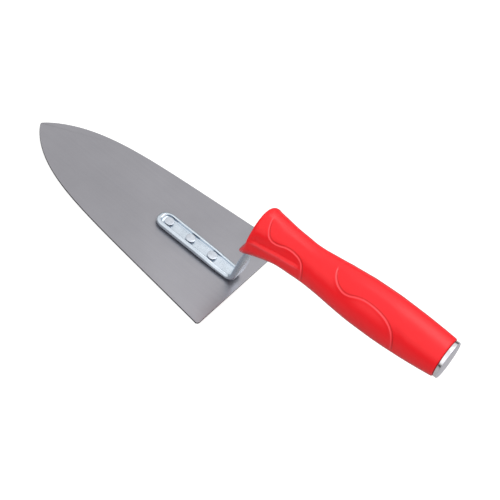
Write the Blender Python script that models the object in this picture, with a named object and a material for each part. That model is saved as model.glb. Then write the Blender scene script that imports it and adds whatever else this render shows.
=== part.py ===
# Brick trowel: flat pointed steel blade, pressed channel shank riveted to it,
# moulded plastic handle on the shank's tang, and a steel striking cap.
#
# Frame: origin on the blade's underside, on the centre line, halfway along the
# blade. +X runs from the heel to the tip, +Z is up (the handle side), and the
# object is symmetric about the plane Y = 0. Everything is drawn in millimetres
# from the heel, x = 0. The root empty then moves it back by half the blade.
# "Front" is towards the tip and "rear" towards the cap.

import math

import bmesh
import bpy
import numpy as np

MM = 0.001
QUARTER = math.pi / 2

# ---- shared dimensions, in millimetres -----------------------------------

GAP = 0.3                 # clearance between pieces that rest on each other
OVERSHOOT = 1.0           # how far a hole's cutter passes the sheet

BLADE_LENGTH = 180.0
BLADE_THICK = 1.3
SHEET = 2.0               # shank sheet thickness
FOOT_Z = BLADE_THICK + GAP    # underside of the shank's foot

RIVET_FRONT_X = 64.0
RIVET_PITCH = 18.6
RIVET_X = [RIVET_FRONT_X - RIVET_PITCH * i for i in range(3)]
RIVET_R = 2.0
RIVET_TAIL_R = 2.9        # flared lower end, in the blade's countersink
RIVET_HOLE_R = RIVET_R + GAP

AXIS_RISE = math.radians(4.5)    # handle axis and tang rise towards the rear
AXIS_Z0 = 56.4            # height of the handle axis above the heel


# ---- scene and mesh helpers ----------------------------------------------

def clear_scene():
    for obj in list(bpy.data.objects):
        bpy.data.objects.remove(obj, do_unlink=True)
    for mesh in list(bpy.data.meshes):
        bpy.data.meshes.remove(mesh)


def material(name, colour, roughness, metallic):
    mat = bpy.data.materials.new(name)
    mat.use_nodes = True
    shader = mat.node_tree.nodes["Principled BSDF"]
    shader.inputs["Base Color"].default_value = (*colour, 1.0)
    shader.inputs["Roughness"].default_value = roughness
    shader.inputs["Metallic"].default_value = metallic
    mat.diffuse_color = (*colour, 1.0)
    return mat


def link_object(name, data, parent=None):
    obj = bpy.data.objects.new(name, data)
    bpy.context.scene.collection.objects.link(obj)
    obj.parent = parent
    return obj


def add_object(name, shape, parent, mat=None, sharp_deg=35.0):
    """Object from shape, a (verts, faces) pair in millimetres. Edges sharper
    than sharp_deg stay sharp in shading."""
    verts, faces = shape
    mesh = bpy.data.meshes.new(name)
    mesh.from_pydata([(x * MM, y * MM, z * MM) for x, y, z in verts], [], faces)
    mesh.validate()
    bm = bmesh.new()
    bm.from_mesh(mesh)
    bmesh.ops.recalc_face_normals(bm, faces=bm.faces)
    if bm.calc_volume(signed=True) < 0:
        bmesh.ops.reverse_faces(bm, faces=bm.faces)
    bm.to_mesh(mesh)
    bm.free()
    if mat is not None:
        mesh.materials.append(mat)
    mesh.shade_smooth()
    mesh.set_sharp_from_angle(angle=math.radians(sharp_deg))
    return link_object(name, mesh, parent)


def cut(target, name, shape):
    """Subtract shape from target through a hidden cutter object."""
    cutter = add_object(name, shape, target.parent)
    cutter.hide_render = True
    cutter.display_type = "WIRE"
    mod = target.modifiers.new("cut_" + name, "BOOLEAN")
    mod.operation = "DIFFERENCE"
    mod.solver = "EXACT"
    mod.object = cutter


# ---- curves and solids ---------------------------------------------------

def smoothstep(start, end, x):
    t = min(max((x - start) / (end - start), 0.0), 1.0)
    return t * t * (3 - 2 * t)


def spaced(start, length, steps):
    """Even stations over a length, leaving out its start."""
    return [start + length * i / steps for i in range(1, steps + 1)]


def monotone_cubic(stations, column):
    """Smooth curve through one column of a station table, as a function of
    the first column. It doesn't overshoot between stations."""
    x = np.array([row[0] for row in stations], float)
    y = np.array([row[column] for row in stations], float)
    step = np.diff(x)
    slope = np.diff(y) / step
    tangent = np.zeros(len(x))
    tangent[0], tangent[-1] = slope[0], slope[-1]
    for i in range(1, len(x) - 1):
        if slope[i - 1] * slope[i] > 0:
            before = 2 * step[i] + step[i - 1]
            after = step[i] + 2 * step[i - 1]
            tangent[i] = (before + after) / (before / slope[i - 1] + after / slope[i])

    def curve(at):
        at = min(max(at, x[0]), x[-1])
        i = min(int(np.searchsorted(x, at, side="right")) - 1, len(x) - 2)
        t = (at - x[i]) / step[i]
        return float((1 + 2 * t) * (1 - t) ** 2 * y[i]
                     + t * (1 - t) ** 2 * step[i] * tangent[i]
                     + t * t * (3 - 2 * t) * y[i + 1]
                     + t * t * (t - 1) * step[i] * tangent[i + 1])
    return curve


def prism(start, end):
    """Solid between two matching outlines."""
    n = len(start)
    faces = [tuple(reversed(range(n))), tuple(range(n, 2 * n))]
    for i in range(n):
        j = (i + 1) % n
        faces.append((i, j, n + j, n + i))
    return start + end, faces


def loft(rings):
    """Closed skin over rings of equal length, with a fan at each end."""
    n = len(rings[0])
    verts = [point for ring in rings for point in ring]
    faces = []
    for i in range(len(rings) - 1):
        for j in range(n):
            k = (j + 1) % n
            faces.append((i * n + j, i * n + k, (i + 1) * n + k, (i + 1) * n + j))
    for index in (0, len(rings) - 1):
        ring = rings[index]
        centre = len(verts)
        verts.append(tuple(sum(point[axis] for point in ring) / n for axis in range(3)))
        for j in range(n):
            faces.append((index * n + j, index * n + (j + 1) % n, centre))
    return verts, faces


def lathe(profile, segments, place):
    """Turned solid. profile: (radius, height) from the lower pole to the upper
    pole. place maps (x, y, height) about the turning axis to the drawing."""
    verts, faces, rows = [], [], []
    for radius, height in profile:
        count = segments if radius > 0.0 else 1
        rows.append(range(len(verts), len(verts) + count))
        for j in range(count):
            angle = 2 * math.pi * j / segments
            verts.append(place(radius * math.cos(angle), radius * math.sin(angle), height))
    for low, high in zip(rows[:-1], rows[1:]):
        for j in range(segments):
            k = (j + 1) % segments
            if len(low) == 1:
                faces.append((low[0], high[j], high[k]))
            elif len(high) == 1:
                faces.append((low[j], low[k], high[0]))
            else:
                faces.append((low[j], low[k], high[k], high[j]))
    return verts, faces


def cylinder_profile(radius, bottom, top):
    return [(0.0, bottom), (radius, bottom), (radius, top), (0.0, top)]


def rounded_edge(radius, top, edge, steps):
    """Profile points around the rounded upper edge of a turned body."""
    points = []
    for i in range(steps + 1):
        a = QUARTER * i / steps
        points.append((radius - edge + edge * math.cos(a), top - edge + edge * math.sin(a)))
    return points


def cut_rivet_holes(target, prefix, profile):
    for i, rivet_x in enumerate(RIVET_X):
        shape = lathe(profile, 32, lambda x, y, z: (rivet_x + x, y, z))
        cut(target, "%s_%d" % (prefix, i), shape)


# ---- blade ---------------------------------------------------------------

BLADE_HEEL_HALF = 46.8    # half width at the heel
BLADE_TAPER = 0.418       # share of the half width lost from heel to tip
BLADE_NOSE_POWER = 7.16   # how late the nose closes in
BLADE_NOSE_ROUND = 0.86   # bluntness of the tip
BLADE_HEEL_RADIUS = 2.5
BLADE_CORNER_STEPS = 5
BLADE_SIDE_STEPS = 46
BLADE_SIDE_CROWDING = 1.9     # above 1 crowds the side points towards the tip
BLADE_SIDE_CLEAR = 2.0    # no side points this close to the heel corner
COUNTERSINK_TOP = 0.9
COUNTERSINK_R = RIVET_TAIL_R + GAP + 1.0    # at the cutter's lower end


def blade_half_width(x):
    u = x / BLADE_LENGTH
    return (BLADE_HEEL_HALF * (1 - BLADE_TAPER * u)
            * (1 - u ** BLADE_NOSE_POWER) ** BLADE_NOSE_ROUND)


def blade_outline():
    """(x, y) around the blade, from the heel on +Y, round the tip, to -Y."""
    side = []
    r = BLADE_HEEL_RADIUS
    for i in range(BLADE_CORNER_STEPS):
        a = QUARTER * i / BLADE_CORNER_STEPS
        side.append((r - r * math.cos(a), BLADE_HEEL_HALF - r + r * math.sin(a)))
    side.append((r, blade_half_width(r)))
    for i in range(1, BLADE_SIDE_STEPS):
        x = BLADE_LENGTH * (1 - (1 - i / BLADE_SIDE_STEPS) ** BLADE_SIDE_CROWDING)
        if x > r + BLADE_SIDE_CLEAR:
            side.append((x, blade_half_width(x)))
    tip = (BLADE_LENGTH, 0.0)
    return side + [tip] + [(x, -y) for x, y in reversed(side)]


def build_blade(mat, root):
    outline = blade_outline()
    lower, upper = ([(x, y, z) for x, y in outline] for z in (0.0, BLADE_THICK))
    blade = add_object("blade", prism(lower, upper), root, mat)
    top = BLADE_THICK + OVERSHOOT
    cut_rivet_holes(blade, "cutter_blade", [
        (0.0, -OVERSHOOT), (COUNTERSINK_R, -OVERSHOOT),
        (RIVET_HOLE_R, COUNTERSINK_TOP), (RIVET_HOLE_R, top), (0.0, top)])


# ---- shank ---------------------------------------------------------------
# One strip: foot, heel bend, neck, top bend and tang. Its path is measured
# along the outer face from the foot's front end.

FOOT_END = 72.6           # x of the foot's rounded front end
FOOT_HALF = 7.0           # half width of the foot at its front
FOOT_CORNER = 5.7         # the foot's end is half an ellipse this far across
FOOT_NOSE = 7.6           # and this long
FOOT_NOSE_STEPS = 6
FOOT_STATIONS = 12
FOOT_RAMP = 1.6           # the floor ramps up to the lip at the foot's front
HEEL_X = 11.2             # x where the foot starts to bend up
HEEL_R = 7.0              # outside radius of the heel bend
NECK_LEAN_DEG = 6.0       # the neck leans back from upright
NECK_HALF = 6.3           # half width of the neck
NECK_LEN = 42.6           # straight part of the neck
NARROW_LEAD = 12.0        # the foot narrows from this far before the heel bend
TOP_R = 4.5               # inside radius of the bend into the handle
TANG_LEN = 92.0
TANG_END_HALF = 3.4

# Path stations where the parts begin.
HEEL_TURN = math.radians(90.0 - NECK_LEAN_DEG)
HEEL_ARC = HEEL_R * HEEL_TURN
TOP_ARC = TOP_R * (HEEL_TURN - AXIS_RISE)
HEEL_START = FOOT_END - HEEL_X
NECK_START = HEEL_START + HEEL_ARC
TOP_START = NECK_START + NECK_LEN
TANG_START = TOP_START + TOP_ARC
TANG_END = TANG_START + TANG_LEN

# (length, steps) of each part behind the foot
PART_STEPS = ((HEEL_ARC, 10), (NECK_LEN, 4), (TOP_ARC, 8), (TANG_LEN, 8))
# tang's end corner: (distance before the end, half width lost, outward normal)
TANG_CORNER = (
    (2.2, 0.0, (0.0, 1.0)),
    (0.7, 0.65, (0.7071, 0.7071)),
    (0.0, 2.0, (1.0, 0.0)),
)

# Turned-up lips: their height is cut by shares that come in over path ranges.
LIP = 4.3                 # full outside height
NOSE_LIP_DIP = 0.4        # share lost around the foot's end
NOSE_DIP_RANGE = (0.5, 9.0)
HEEL_LIP_DIP = 0.3        # share lost just before the heel bend
HEEL_DIP_IN = (HEEL_START - 26.0, HEEL_START - 4.0)
HEEL_DIP_OUT = (HEEL_START, NECK_START + 3.0)
NECK_LIP_FADE = 0.45      # share lost up the neck
NECK_FADE_RANGE = (NECK_START + 12.0, TANG_START)
TANG_LIP_END = 26.0       # the lips fade into a flat tang over this length

# Section across one side of the strip.
ROUND_STEPS = 4
LIP_ROUND = 2.1           # inset of the lip's crest, rounded down to the side
TANG_FLATTEN = 0.5        # share of the outer round's height lost on the tang
TANG_INSET_LOSS = 0.65    # share of the insets lost on the tang
TANG_INSET_RANGE = (TANG_START, TANG_START + TANG_LIP_END + 20.0)
MIN_HALF = 0.25           # no ring comes nearer the centre line
# inner side of the lip, (inset, height, share of the foot's ramp)
LIP_INNER = ((2.6, LIP - 0.3, 0.0), (2.75, 3.2, 0.4), (2.95, 2.4, 0.8), (3.4, SHEET, 1.0))


def path_frame(s):
    """Point on the shank's outer face at path station s, and the unit
    direction towards the lips. Both are (x, z)."""
    if s <= HEEL_START:
        return (FOOT_END - s, FOOT_Z), (0.0, 1.0)
    turn = min((s - HEEL_START) / HEEL_R, HEEL_TURN)
    lips = (math.sin(turn), math.cos(turn))
    x = HEEL_X - HEEL_R * lips[0]
    z = FOOT_Z + HEEL_R - HEEL_R * lips[1]
    if s <= NECK_START:
        return (x, z), lips
    run = min(s - NECK_START, NECK_LEN)
    x -= run * lips[1]
    z += run * lips[0]
    if s <= TOP_START:
        return (x, z), lips
    centre_x = x - TOP_R * lips[0]
    centre_z = z - TOP_R * lips[1]
    turn = max(HEEL_TURN - (s - TOP_START) / TOP_R, AXIS_RISE)
    lips = (math.sin(turn), math.cos(turn))
    run = max(s - TANG_START, 0.0)
    x = centre_x + TOP_R * lips[0] - run * lips[1]
    z = centre_z + TOP_R * lips[1] + run * lips[0]
    return (x, z), lips


def shank_half_width(s):
    return (FOOT_HALF
            + (NECK_HALF - FOOT_HALF) * smoothstep(HEEL_START - NARROW_LEAD, NECK_START, s)
            + (TANG_END_HALF - NECK_HALF) * smoothstep(TANG_START, TANG_END, s))


def lip_scale(s):
    nose = 1.0 - NOSE_LIP_DIP * (1.0 - smoothstep(*NOSE_DIP_RANGE, s))
    heel_dip = smoothstep(*HEEL_DIP_IN, s) * (1.0 - smoothstep(*HEEL_DIP_OUT, s))
    heel = 1.0 - HEEL_LIP_DIP * heel_dip
    neck = 1.0 - NECK_LIP_FADE * smoothstep(*NECK_FADE_RANGE, s)
    tang = 1.0 - smoothstep(TANG_START, TANG_START + TANG_LIP_END, s)
    return nose * heel * neck * tang


def shank_plan():
    """Half outline on the +Y side, (s, y, outward normal), from the foot's
    end to the tang's end."""
    plan = []
    flat = FOOT_HALF - FOOT_CORNER
    for i in range(FOOT_NOSE_STEPS):
        a = QUARTER * i / FOOT_NOSE_STEPS
        normal_s = -math.cos(a) / FOOT_NOSE
        normal_y = math.sin(a) / FOOT_CORNER
        size = math.hypot(normal_s, normal_y)
        plan.append((FOOT_NOSE * (1 - math.cos(a)), flat + FOOT_CORNER * math.sin(a),
                     (normal_s / size, normal_y / size)))
    stations = [float(s) for s in np.linspace(FOOT_NOSE, HEEL_START, FOOT_STATIONS)]
    start = HEEL_START
    for length, steps in PART_STEPS:
        stations += spaced(start, length, steps)
        start += length
    # the corner points take the place of the last station
    plan += [(s, shank_half_width(s), (0.0, 1.0)) for s in stations[:-1]]
    plan += [(TANG_END - back, TANG_END_HALF - loss, normal)
             for back, loss, normal in TANG_CORNER]
    return plan


def shank_section():
    """Outer round and lip, each a list of (inset, height, ramp) rings, in
    order from the outer face's flat to the floor between the lips."""
    outer, lip = [], []
    for i in range(ROUND_STEPS + 1):
        a = QUARTER * i / ROUND_STEPS
        outer.append((SHEET - SHEET * math.sin(a), SHEET - SHEET * math.cos(a), 0.0))
    for i in range(1, ROUND_STEPS + 1):
        a = QUARTER * i / ROUND_STEPS
        lip.append((LIP_ROUND - LIP_ROUND * math.cos(a),
                    SHEET + (LIP - SHEET) * math.sin(a), 0.0))
    lip += LIP_INNER
    return outer, lip


def shank_point(plan_point, side, ring, is_outer):
    """Where a section ring meets a plan point. side is 1 on +Y, -1 on -Y."""
    s, y, (normal_s, normal_y) = plan_point
    inset, height, ramp = ring
    inset *= 1.0 - TANG_INSET_LOSS * smoothstep(*TANG_INSET_RANGE, s)
    along = s - normal_s * inset + FOOT_RAMP * ramp * max(-normal_s, 0.0) ** 2
    across = max(y - normal_y * inset, MIN_HALF)
    scale = lip_scale(along)
    if not is_outer:
        height = SHEET + (height - SHEET) * scale
    elif s > TANG_START:
        height *= 1.0 - TANG_FLATTEN * (1.0 - scale)
    (x, z), lips = path_frame(max(along, 0.0))
    return (x + lips[0] * height, side * across, z + lips[1] * height)


def shank_shape():
    plan = shank_plan()
    half = len(plan)
    n = 2 * half
    outer, lip = shank_section()
    rings = [(ring, True) for ring in outer] + [(ring, False) for ring in lip]
    around = [(point, 1) for point in plan] + [(point, -1) for point in reversed(plan)]
    verts = [shank_point(point, side, ring, is_outer)
             for ring, is_outer in rings for point, side in around]
    faces = []
    for i in range(len(rings) - 1):
        for j in range(n):
            k = (j + 1) % n
            faces.append((i * n + j, i * n + k, (i + 1) * n + k, (i + 1) * n + j))
    # strips of quads from side to side close the outer face and the floor
    last = (len(rings) - 1) * n
    for first, step in ((0, -1), (last, 1)):
        for i in range(half - 1):
            quad = (first + i, first + i + 1, first + n - 2 - i, first + n - 1 - i)
            faces.append(quad[::step])
    return verts, faces


def build_shank(mat, root):
    shank = add_object("shank", shank_shape(), root, mat, sharp_deg=32.0)
    cut_rivet_holes(shank, "cutter_shank", cylinder_profile(
        RIVET_HOLE_R, FOOT_Z - OVERSHOOT, FOOT_Z + SHEET + OVERSHOOT))


# ---- rivets --------------------------------------------------------------

RIVET_HEAD_R = 3.45
RIVET_HEAD_H = 1.6
RIVET_HEAD_EDGE = 0.45    # rounding of the head's upper edge
RIVET_NECK_R = 2.75       # under the head, which is undercut
RIVET_BOTTOM = 0.05       # height of the tail above the blade's underside
RIVET_TAIL_TOP = 0.95     # where the tail's cone meets the pin


def build_rivets(mat, root):
    seat = FOOT_Z + SHEET + GAP
    top = seat + RIVET_HEAD_H
    profile = [(0.0, RIVET_BOTTOM), (RIVET_TAIL_R, RIVET_BOTTOM), (RIVET_R, RIVET_TAIL_TOP),
               (RIVET_R, seat), (RIVET_NECK_R, seat),
               *rounded_edge(RIVET_HEAD_R, top, RIVET_HEAD_EDGE, 3), (0.0, top)]
    shape = lathe(profile, 28, lambda x, y, z: (x, y, z))
    front = add_object("rivet_front", shape, root, mat)
    # the other two share its mesh
    others = [link_object(name, front.data, root) for name in ("rivet_middle", "rivet_rear")]
    for rivet, x in zip([front] + others, RIVET_X):
        rivet.location = (x * MM, 0.0, 0.0)


# ---- handle --------------------------------------------------------------

# handle section along its axis: station, height above and below the axis,
# half width
GRIP_STATIONS = (
    (-4.3, 20.1, 25.9, 15.8),
    (2.0, 17.5, 20.9, 14.4),
    (10.0, 15.8, 16.3, 13.8),
    (18.0, 14.6, 13.9, 12.8),
    (26.0, 13.5, 13.3, 12.4),
    (36.0, 12.8, 13.4, 12.0),
    (48.0, 13.7, 13.9, 12.8),
    (60.0, 14.9, 15.1, 14.0),
    (76.0, 15.9, 16.3, 15.1),
    (92.0, 16.0, 16.6, 15.3),
    (110.0, 15.0, 16.0, 14.7),
    (124.0, 13.8, 14.7, 13.9),
    (133.3, 12.8, 13.5, 13.15),
)
GRIP_START = GRIP_STATIONS[0][0]
GRIP_END = GRIP_STATIONS[-1][0]
grip_top, grip_low, grip_half = (monotone_cubic(GRIP_STATIONS, c) for c in (1, 2, 3))
GRIP_SEGMENTS = 48        # facets around the handle
GRIP_BODY_STEPS = 34

# Front face: shifts along the axis, by height above or depth below it.
FACE_LEAN = 0.07          # the face leans back above the axis
FACE_LOW_LEAN = 0.165     # and runs forward to the lower lip below it
FACE_LEAN_DEPTH = 20.0    # depth at which the lower lean is reached
FACE_BOW = 0.6            # the rim is hollow by this at mid height
FACE_BOW_HALF = 16.0      # height and depth where the hollow ends
TOE = 2.3                 # extra reach of the lower lip
TOE_RANGE = (4.0, 19.0)
TOE_BACK = 1.6            # lost again at its very bottom, which rounds it
TOE_BACK_RANGE = (19.0, 25.0)
FACE_FADE = 25.0          # length over which these shifts die out
FACE_SCALES = (0.03, 0.3, 0.6, 0.85)    # rings that fill the face
FRONT_DEPTHS = (0.0, 0.12, 0.5, 1.1, 2.0, 3.2, 4.6, 6.2)    # rings behind the face
FRONT_TOP_R = 6.6         # rounding of the front rim, top and bottom
FRONT_LOW_R = 1.9
REAR_R = 1.0
REAR_STEPS = 3

# Lower half of the section, at the front.
LOWER_POWER = 2.9         # squareness, where 2 is an ellipse
LOWER_NARROW = 0.45       # share of the width lost at the bottom
LOWER_NARROW_POWER = 1.5
LOWER_FADE_RANGE = (14.0, 34.0)    # stations over which it becomes an ellipse

# Room for the shank.
POCKET_START = NECK_START + 4.0
POCKET_CLEARANCE = 0.4    # at the sides and the outer face
POCKET_LIP_CLEARANCE = 0.6
POCKET_EXTRA = 1.2        # length beyond the tang
SLOT_HALF = NECK_HALF + POCKET_CLEARANCE - 0.05    # just inside the pocket's sides
SLOT_NEAR = 1.5           # slot's extent forward of the neck's outer face
SLOT_FAR = 22.0
SLOT_RISE = 8.6           # how far it runs on past the straight neck

CAP_AXIS_DROP = 0.3       # the cap and its bore sit this far below the axis
PLUG_R = 8.0
PLUG_LEN = 12.0
BORE_END_ROOM = 1.0       # bore depth beyond the plug
BORE_OVERSHOOT = 2.0


def axis_point(along, y, up):
    """Point from its place along the handle axis, towards the rear, and its
    offsets sideways and above the axis."""
    return (up * math.sin(AXIS_RISE) - along * math.cos(AXIS_RISE), y,
            AXIS_Z0 + along * math.sin(AXIS_RISE) + up * math.cos(AXIS_RISE))


def cap_point(up, y, along):
    """Point from coordinates about the cap's axis, with the last along it."""
    return axis_point(along, up, y - CAP_AXIS_DROP)


def face_shift(up):
    """Rearward shift of the front face at a height above the axis."""
    depth = max(-up, 0.0)
    lean = FACE_LEAN + (FACE_LOW_LEAN - FACE_LEAN) * min(depth / FACE_LEAN_DEPTH, 1.0)
    bow = FACE_BOW * (1 - (up / FACE_BOW_HALF) ** 2)
    toe = TOE_BACK * smoothstep(*TOE_BACK_RANGE, depth) - TOE * smoothstep(*TOE_RANGE, depth)
    return lean * up + bow + toe


def grip_ring(along, inset):
    """One section of the handle. inset(sine of the angle round the section)
    draws the rim in for rounding."""
    lower_share = 1.0 - smoothstep(*LOWER_FADE_RANGE, along)
    power = 2.0 + (LOWER_POWER - 2.0) * lower_share
    narrow = LOWER_NARROW * lower_share
    face_share = max(0.0, 1.0 - (along - GRIP_START) / FACE_FADE) ** 2
    top, low, half = grip_top(along), grip_low(along), grip_half(along)
    ring = []
    for j in range(GRIP_SEGMENTS):
        angle = 2 * math.pi * j / GRIP_SEGMENTS
        cosine, sine = math.cos(angle), math.sin(angle)
        if sine >= 0:
            y, up = half * cosine, top * sine
        else:
            y = half * math.copysign(abs(cosine) ** (2 / power), cosine)
            y *= 1 - narrow * abs(sine) ** LOWER_NARROW_POWER
            up = -low * abs(sine) ** (2 / power)
        shrink = 1 - inset(sine) / math.hypot(y, up)
        y, up = y * shrink, up * shrink
        ring.append(axis_point(along + face_share * face_shift(up), y, up))
    return ring


def front_inset(depth, sine):
    r = FRONT_LOW_R + (FRONT_TOP_R - FRONT_LOW_R) * max(sine, 0.0)
    return r - math.sqrt(r * r - (r - depth) ** 2) if depth < r else 0.0


def grip_shape():
    front = [grip_ring(GRIP_START + depth, lambda sine: front_inset(depth, sine))
             for depth in FRONT_DEPTHS]
    # the front face isn't flat, so it is drawn as rings about its middle
    rim = np.array(front[0])
    middle = rim.mean(axis=0)
    face = [[tuple(p) for p in middle + (rim - middle) * scale] for scale in FACE_SCALES]

    body_start = GRIP_START + FRONT_DEPTHS[-1]
    body_end = GRIP_END - REAR_R
    body = [grip_ring(along, lambda sine: 0.0)
            for along in spaced(body_start, body_end - body_start, GRIP_BODY_STEPS)]
    rear = []
    for a in spaced(0.0, QUARTER, REAR_STEPS):
        inset = REAR_R * (1 - math.cos(a))
        rear.append(grip_ring(body_end + REAR_R * math.sin(a), lambda sine: inset))
    return loft(face + front + body + rear)


def slot_shape():
    """Box along the neck that opens the handle's front face and lower lip."""
    (x, z), lips = path_frame(POCKET_START)
    end = TOP_START - POCKET_START + SLOT_RISE
    corners = [(x - lips[1] * along + lips[0] * out, z + lips[0] * along + lips[1] * out)
               for along, out in ((0.0, SLOT_NEAR), (0.0, SLOT_FAR),
                                  (end, SLOT_FAR), (end, SLOT_NEAR))]
    return prism(*([(x, y, z) for x, z in corners] for y in (SLOT_HALF, -SLOT_HALF)))


def pocket_shape():
    """Channel that follows the shank's neck, top bend and tang."""
    stations = [POCKET_START, TOP_START]
    stations += spaced(TOP_START, TOP_ARC, 8)
    stations += spaced(TANG_START, TANG_LEN + POCKET_EXTRA, 6)
    low, high = -POCKET_CLEARANCE, LIP + POCKET_LIP_CLEARANCE
    sections = []
    for s in stations:
        (x, z), lips = path_frame(s)
        half = shank_half_width(s) + POCKET_CLEARANCE
        sections.append([(x + lips[0] * out, y, z + lips[1] * out) for y, out in
                         ((half, low), (half, high), (-half, high), (-half, low))])
    return loft(sections)


def bore_shape():
    """Hole for the cap's plug."""
    profile = cylinder_profile(PLUG_R + GAP, GRIP_END - PLUG_LEN - BORE_END_ROOM,
                               GRIP_END + BORE_OVERSHOOT)
    return lathe(profile, 48, cap_point)


def build_grip(mat, root):
    grip = add_object("handle_grip", grip_shape(), root, mat, sharp_deg=40.0)
    cut(grip, "cutter_slot", slot_shape())
    cut(grip, "cutter_pocket", pocket_shape())
    cut(grip, "cutter_bore", bore_shape())


# ---- end cap -------------------------------------------------------------

CAP_R = 12.5
CAP_STANDOFF = 3.0        # cap's outer face beyond the handle's rear face
CAP_EDGE = 0.8            # rounding of the outer face's edge
CAP_FACE_THICK = 1.6      # over the hollow plug
CAP_CHAMFER = 0.25        # on the edge next to the handle
PLUG_WALL = 1.1
PLUG_CHAMFER = (0.4, 0.8)    # radius lost at the plug's end, and its length


def build_cap(mat, root):
    seat = GRIP_END + GAP
    top = GRIP_END + CAP_STANDOFF
    hollow_end = top - CAP_FACE_THICK
    hollow_r = PLUG_R - PLUG_WALL
    plug_end = seat - PLUG_LEN
    loss, length = PLUG_CHAMFER
    profile = [(0.0, hollow_end), (hollow_r, hollow_end), (hollow_r, plug_end),
               (PLUG_R - loss, plug_end), (PLUG_R, plug_end + length), (PLUG_R, seat),
               (CAP_R - CAP_CHAMFER, seat), (CAP_R, seat + CAP_CHAMFER),
               *rounded_edge(CAP_R, top, CAP_EDGE, 4), (0.0, top)]
    add_object("end_cap", lathe(profile, 56, cap_point), root, mat)


# ---- assembly ------------------------------------------------------------

# each piece's builder and its material
PIECES = (
    (build_blade, dict(name="blade_steel", colour=(0.36, 0.355, 0.38),
                       roughness=0.42, metallic=1.0)),
    (build_shank, dict(name="shank_zinc", colour=(0.68, 0.73, 0.76),
                       roughness=0.28, metallic=1.0)),
    (build_rivets, dict(name="rivet_steel", colour=(0.62, 0.63, 0.67),
                        roughness=0.35, metallic=1.0)),
    (build_grip, dict(name="grip_plastic", colour=(0.78, 0.025, 0.035),
                      roughness=0.38, metallic=0.0)),
    (build_cap, dict(name="cap_plate", colour=(0.78, 0.78, 0.83),
                     roughness=0.12, metallic=1.0)),
)


def main():
    clear_scene()
    root = link_object("trowel", None)
    root.location = (-BLADE_LENGTH / 2 * MM, 0.0, 0.0)
    for build, finish in PIECES:
        build(material(**finish), root)
    bpy.context.view_layer.update()


main()
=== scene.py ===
# Looks for a brick trowel: fine meshes and procedural materials over its CAD frame.
# +X runs from the blade's heel to its nose ("front"), +Z is up and +Y is the near
# side, where the camera stands. The blade lies flat; the shank rises from it and the
# handle runs back along -X, rising slightly. Shapes are drawn in millimetres from
# the heel and then moved to the frame's origin.

import math

import bmesh
import bpy
import numpy as np
from mathutils import Matrix, Vector
from mathutils.kdtree import KDTree


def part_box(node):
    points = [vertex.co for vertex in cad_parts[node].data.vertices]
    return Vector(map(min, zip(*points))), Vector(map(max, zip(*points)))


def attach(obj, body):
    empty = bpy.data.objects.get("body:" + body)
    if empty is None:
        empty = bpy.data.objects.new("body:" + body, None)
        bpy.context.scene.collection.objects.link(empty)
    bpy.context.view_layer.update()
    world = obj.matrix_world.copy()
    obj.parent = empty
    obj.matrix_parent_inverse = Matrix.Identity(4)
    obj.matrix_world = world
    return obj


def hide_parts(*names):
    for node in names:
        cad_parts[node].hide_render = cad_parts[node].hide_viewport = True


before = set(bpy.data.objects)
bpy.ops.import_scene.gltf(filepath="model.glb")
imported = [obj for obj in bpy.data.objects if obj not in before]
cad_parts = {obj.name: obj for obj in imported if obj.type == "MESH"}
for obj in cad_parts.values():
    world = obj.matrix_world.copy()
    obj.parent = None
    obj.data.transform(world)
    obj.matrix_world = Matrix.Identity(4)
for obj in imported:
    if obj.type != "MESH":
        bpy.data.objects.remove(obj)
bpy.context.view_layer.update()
BLADE_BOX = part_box("blade")

MM = 0.001
HEEL_X = BLADE_BOX[0].x                # the heel's place in the frame, in metres
QUARTER = math.pi / 2

# ---- dimensions in millimetres -------------------------------------------

GAP = 0.3                              # clearance between pieces

BLADE_LENGTH = (BLADE_BOX[1].x - BLADE_BOX[0].x) / MM
BLADE_HEEL_HALF = 46.7
BLADE_TAPER = 0.418                    # share of the width lost along the length
BLADE_NOSE_POWER = 7.16
BLADE_NOSE_ROUND = 0.86
BLADE_THICK = 1.3
BLADE_HEEL_RADIUS = 2.5
BLADE_EDGE = 0.28                      # rounding of the sheet's edges

SHEET = 2.0                            # shank floor thickness
LIP = 4.3                              # height of its raised rim
FOOT_Z = BLADE_THICK + GAP
FOOT_END = 72.6                        # front end of the foot, in x
FOOT_HALF = 7.0
FOOT_CORNER = 5.7                      # plan rounding of the foot's end, across
FOOT_NOSE = 7.6                        # and along
FOOT_RAMP = 1.6                        # slope of the rim's inside at the foot's end
NOSE_LIP_DIP = 0.4
BEND1_X = 11.2
BEND1_R = 7.0
BEND1_TURN = math.radians(84.0)
BEND_LIP_DIP = 0.3
NECK_HALF = 6.3
NECK_LEN = 42.6
NECK_LIP_FADE = 0.45
BEND2_R = 4.5
TANG_LEN = 92.0
TANG_END_HALF = 3.4
TANG_END_ROUND = 2.0
TANG_LIP_END = 26.0                    # run over which the tang's rim dies out
SHANK_MIN_HALF = 0.25                  # inner rings stay this far from the centre line

# The shank's cross-section, as insets from its outline.
LIP_ROUND = 2.1                        # outer rounding of the rim
LIP_CREST_INSET = 2.14
LIP_INNER_R = 0.56
LIP_WALL_INSET = 2.72
LIP_FILLET = 0.75

RIVET_FRONT_X = 64.0
RIVET_PITCH = 18.6
RIVET_X = [RIVET_FRONT_X - RIVET_PITCH * i for i in range(3)]
RIVET_R = 2.0
RIVET_HOLE_R = RIVET_R + GAP
RIVET_TAIL_R = 2.9
RIVET_NECK_R = 2.75
RIVET_HEAD_R = 3.45
RIVET_HEAD_H = 1.6
RIVET_HEAD_EDGE = 0.42
CUT_OVERRUN = 1.0                      # how far the hole cutters reach past a sheet

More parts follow.
